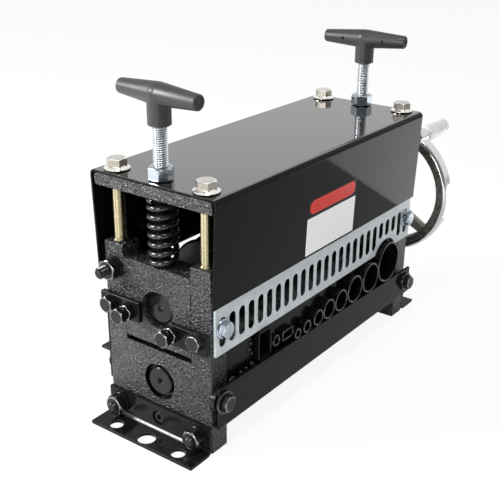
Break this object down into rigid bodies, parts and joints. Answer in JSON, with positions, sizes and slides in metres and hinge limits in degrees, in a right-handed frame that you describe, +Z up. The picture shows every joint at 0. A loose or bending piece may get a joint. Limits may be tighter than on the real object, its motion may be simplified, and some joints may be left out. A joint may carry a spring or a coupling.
{
  "type": "hand crank wire stripper",
  "caption": "Bench wire stripper: guide tubes feed cable between grooved rollers and disc blades turned by a hand wheel, blade height set by two sprung T-handle screws.",
  "frame": {"origin": "centre of the bounding box at the underside of the feet", "axes": "+X along the shafts toward the hand wheel, +Z up, -Y is the feed side with the slotted guard"},
  "size_m": [0.4846, 0.146, 0.3016],
  "materials": {
    "hammered_black": "black hammer-texture powder coat",
    "gloss_black": "smooth gloss black paint",
    "black_sheet": "semi-gloss black paint on folded sheet",
    "galvanised": "galvanised sheet, satin",
    "zinc": "bright zinc plate",
    "yellow_zinc": "pale yellow zinc plate",
    "dark_steel": "blackened steel, thin paint over hardware",
    "bare_steel": "turned steel",
    "knurled_steel": "knurled steel",
    "blade_steel": "ground tool steel",
    "chrome": "chromed rim, cast grey on the inside",
    "grip_plastic": "pale grey moulded plastic",
    "handle_plastic": "dark grey moulded plastic",
    "spring_black": "black coated spring wire"
  },
  "bodies": {
    "frame": {"left_end_block": "hammered_black", "left_foot_bracket": "black_sheet", "left_top_plate": "hammered_black", "left_front_foot_bolt": "dark_steel", "left_front_cover_bolt": "yellow_zinc", "left_front_retainer": "dark_steel", "left_front_retainer_bolt": "dark_steel", "left_front_jack_screw": "dark_steel", "left_rear_foot_bolt": "dark_steel", "left_rear_cover_bolt": "yellow_zinc", "left_rear_retainer": "dark_steel", "left_rear_retainer_bolt": "dark_steel", "left_rear_jack_screw": "dark_steel", "left_guard_bolt": "zinc", "left_front_plate_bolt": "dark_steel", "left_rear_plate_bolt": "dark_steel", "left_lower_bushing": "dark_steel", "left_lock_nut": "zinc", "right_end_block": "hammered_black", "right_foot_bracket": "black_sheet", "right_top_plate": "hammered_black", "right_front_foot_bolt": "dark_steel", "right_front_cover_bolt": "yellow_zinc", "right_front_retainer": "dark_steel", "right_front_retainer_bolt": "dark_steel", "right_front_jack_screw": "dark_steel", "right_rear_foot_bolt": "dark_steel", "right_rear_cover_bolt": "yellow_zinc", "right_rear_retainer": "dark_steel", "right_rear_retainer_bolt": "dark_steel", "right_rear_jack_screw": "dark_steel", "right_guard_bolt": "zinc", "right_front_plate_bolt": "dark_steel", "right_rear_plate_bolt": "dark_steel", "right_lower_bushing": "dark_steel", "right_lock_nut": "zinc", "cover": "gloss_black", "slotted_guard": "galvanised", "feed_panel": "black_sheet", "lower_front_plate": "black_sheet", "rear_exit_plate": "black_sheet", "tie_rod": "dark_steel", "left_spring": "spring_black", "right_spring": "spring_black"},
    "feed_spindle": {"feed_shaft": "bare_steel", "feed_roller_set": "knurled_steel"},
    "head": {"left_slider": "hammered_black", "left_upper_bushing": "dark_steel", "right_slider": "hammered_black", "right_upper_bushing": "dark_steel"},
    "blade_spindle": {"blade_shaft": "bare_steel", "blade_set": "blade_steel", "hand_wheel": "chrome", "wheel_nut": "zinc", "grip_pin": "zinc"},
    "grip": {"crank_grip": "grip_plastic"},
    "left_screw": {"left_adjusting_screw": "zinc", "left_t_handle": "handle_plastic"},
    "right_screw": {"right_adjusting_screw": "zinc", "right_t_handle": "handle_plastic"}
  },
  "joints": [
    {"name": "feed_roller_spin", "type": "hinge", "parent": "frame", "child": "feed_spindle", "pos_m": [0, 0, 0.0493], "axis": [1, 0, 0], "continuous": true},
    {"name": "head_slide", "type": "slide", "parent": "frame", "child": "head", "axis": [0, 0, 1], "range_m": [0, 0.012], "deforming": ["left_spring", "right_spring"]},
    {"name": "crank_turn", "type": "hinge", "parent": "head", "child": "blade_spindle", "pos_m": [0, 0, 0.1161], "axis": [1, 0, 0], "continuous": true},
    {"name": "crank_grip_spin", "type": "hinge", "parent": "blade_spindle", "child": "grip", "pos_m": [0.21835, -0.02992, 0.17883], "axis": [1, 0, 0], "continuous": true},
    {"name": "left_screw_turn", "type": "hinge", "parent": "head", "child": "left_screw", "pos_m": [-0.20435, 0, 0.25], "axis": [0, 0, 1], "range_deg": [0, 2470]},
    {"name": "right_screw_turn", "type": "hinge", "parent": "head", "child": "right_screw", "pos_m": [0.10385, 0, 0.25], "axis": [0, 0, 1], "range_deg": [0, 2470]}
  ],
  "couplings": [
    {"joint": "left_screw_turn", "follows": "head_slide", "rad_per_m": 3590.4},
    {"joint": "right_screw_turn", "follows": "head_slide", "rad_per_m": 3590.4}
  ]
}
